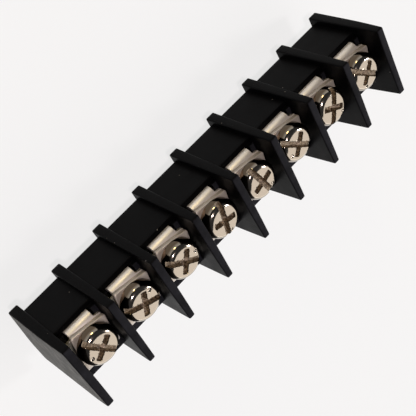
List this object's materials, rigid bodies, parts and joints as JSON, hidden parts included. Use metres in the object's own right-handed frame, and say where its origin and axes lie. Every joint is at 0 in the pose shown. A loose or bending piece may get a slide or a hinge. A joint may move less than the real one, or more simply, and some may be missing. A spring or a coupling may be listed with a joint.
{
  "type": "barrier terminal strip",
  "caption": "Black moulded terminal strip for a circuit board, with barrier plates between captive pan head clamp screws on square washers and bent plated terminals.",
  "frame": {"origin": "on the foot of the middle barrier, in the plane of the circuit board, on the line of the pins", "axes": "+X along the strip, +Z away from the board along the screws, -Y towards the side where the wires enter"},
  "size_m": [0.0788, 0.0163, 0.0207],
  "materials": {
    "housing": "satin moulded black thermoplastic",
    "terminal": "bright tin plate over brass",
    "washer": "bright nickel plate",
    "screw": "bright nickel plate"
  },
  "bodies": {
    "strip": {"housing": "housing", "terminal_1": "terminal", "terminal_2": "terminal", "terminal_3": "terminal", "terminal_4": "terminal", "terminal_5": "terminal", "terminal_6": "terminal", "terminal_7": "terminal", "terminal_8": "terminal"},
    "clamp_1": {"washer_1": "washer"},
    "driver_1": {"screw_1": "screw"},
    "clamp_2": {"washer_2": "washer"},
    "driver_2": {"screw_2": "screw"},
    "clamp_3": {"washer_3": "washer"},
    "driver_3": {"screw_3": "screw"},
    "clamp_4": {"washer_4": "washer"},
    "driver_4": {"screw_4": "screw"},
    "clamp_5": {"washer_5": "washer"},
    "driver_5": {"screw_5": "screw"},
    "clamp_6": {"washer_6": "washer"},
    "driver_6": {"screw_6": "screw"},
    "clamp_7": {"washer_7": "washer"},
    "driver_7": {"screw_7": "screw"},
    "clamp_8": {"washer_8": "washer"},
    "driver_8": {"screw_8": "screw"}
  },
  "joints": [
    {"name": "washer_lift_1", "type": "slide", "parent": "strip", "child": "clamp_1", "axis": [0, 0, 1], "range_m": [0, 0.003]},
    {"name": "screw_turn_1", "type": "hinge", "parent": "clamp_1", "child": "driver_1", "pos_m": [-0.03325, 0.0011, 0.0131], "axis": [0, 0, 1], "range_deg": [0, 1800]},
    {"name": "washer_lift_2", "type": "slide", "parent": "strip", "child": "clamp_2", "axis": [0, 0, 1], "range_m": [0, 0.003]},
    {"name": "screw_turn_2", "type": "hinge", "parent": "clamp_2", "child": "driver_2", "pos_m": [-0.02375, 0.0011, 0.0131], "axis": [0, 0, 1], "range_deg": [0, 1800]},
    {"name": "washer_lift_3", "type": "slide", "parent": "strip", "child": "clamp_3", "axis": [0, 0, 1], "range_m": [0, 0.003]},
    {"name": "screw_turn_3", "type": "hinge", "parent": "clamp_3", "child": "driver_3", "pos_m": [-0.01425, 0.0011, 0.0131], "axis": [0, 0, 1], "range_deg": [0, 1800]},
    {"name": "washer_lift_4", "type": "slide", "parent": "strip", "child": "clamp_4", "axis": [0, 0, 1], "range_m": [0, 0.003]},
    {"name": "screw_turn_4", "type": "hinge", "parent": "clamp_4", "child": "driver_4", "pos_m": [-0.00475, 0.0011, 0.0131], "axis": [0, 0, 1], "range_deg": [0, 1800]},
    {"name": "washer_lift_5", "type": "slide", "parent": "strip", "child": "clamp_5", "axis": [0, 0, 1], "range_m": [0, 0.003]},
    {"name": "screw_turn_5", "type": "hinge", "parent": "clamp_5", "child": "driver_5", "pos_m": [0.00475, 0.0011, 0.0131], "axis": [0, 0, 1], "range_deg": [0, 1800]},
    {"name": "washer_lift_6", "type": "slide", "parent": "strip", "child": "clamp_6", "axis": [0, 0, 1], "range_m": [0, 0.003]},
    {"name": "screw_turn_6", "type": "hinge", "parent": "clamp_6", "child": "driver_6", "pos_m": [0.01425, 0.0011, 0.0131], "axis": [0, 0, 1], "range_deg": [0, 1800]},
    {"name": "washer_lift_7", "type": "slide", "parent": "strip", "child": "clamp_7", "axis": [0, 0, 1], "range_m": [0, 0.003]},
    {"name": "screw_turn_7", "type": "hinge", "parent": "clamp_7", "child": "driver_7", "pos_m": [0.02375, 0.0011, 0.0131], "axis": [0, 0, 1], "range_deg": [0, 1800]},
    {"name": "washer_lift_8", "type": "slide", "parent": "strip", "child": "clamp_8", "axis": [0, 0, 1], "range_m": [0, 0.003]},
    {"name": "screw_turn_8", "type": "hinge", "parent": "clamp_8", "child": "driver_8", "pos_m": [0.03325, 0.0011, 0.0131], "axis": [0, 0, 1], "range_deg": [0, 1800]}
  ],
  "couplings": [
    {"joint": "screw_turn_1", "follows": "washer_lift_1", "rad_per_m": 10472},
    {"joint": "screw_turn_2", "follows": "washer_lift_2", "rad_per_m": 10472},
    {"joint": "screw_turn_3", "follows": "washer_lift_3", "rad_per_m": 10472},
    {"joint": "screw_turn_4", "follows": "washer_lift_4", "rad_per_m": 10472},
    {"joint": "screw_turn_5", "follows": "washer_lift_5", "rad_per_m": 10472},
    {"joint": "screw_turn_6", "follows": "washer_lift_6", "rad_per_m": 10472},
    {"joint": "screw_turn_7", "follows": "washer_lift_7", "rad_per_m": 10472},
    {"joint": "screw_turn_8", "follows": "washer_lift_8", "rad_per_m": 10472}
  ]
}
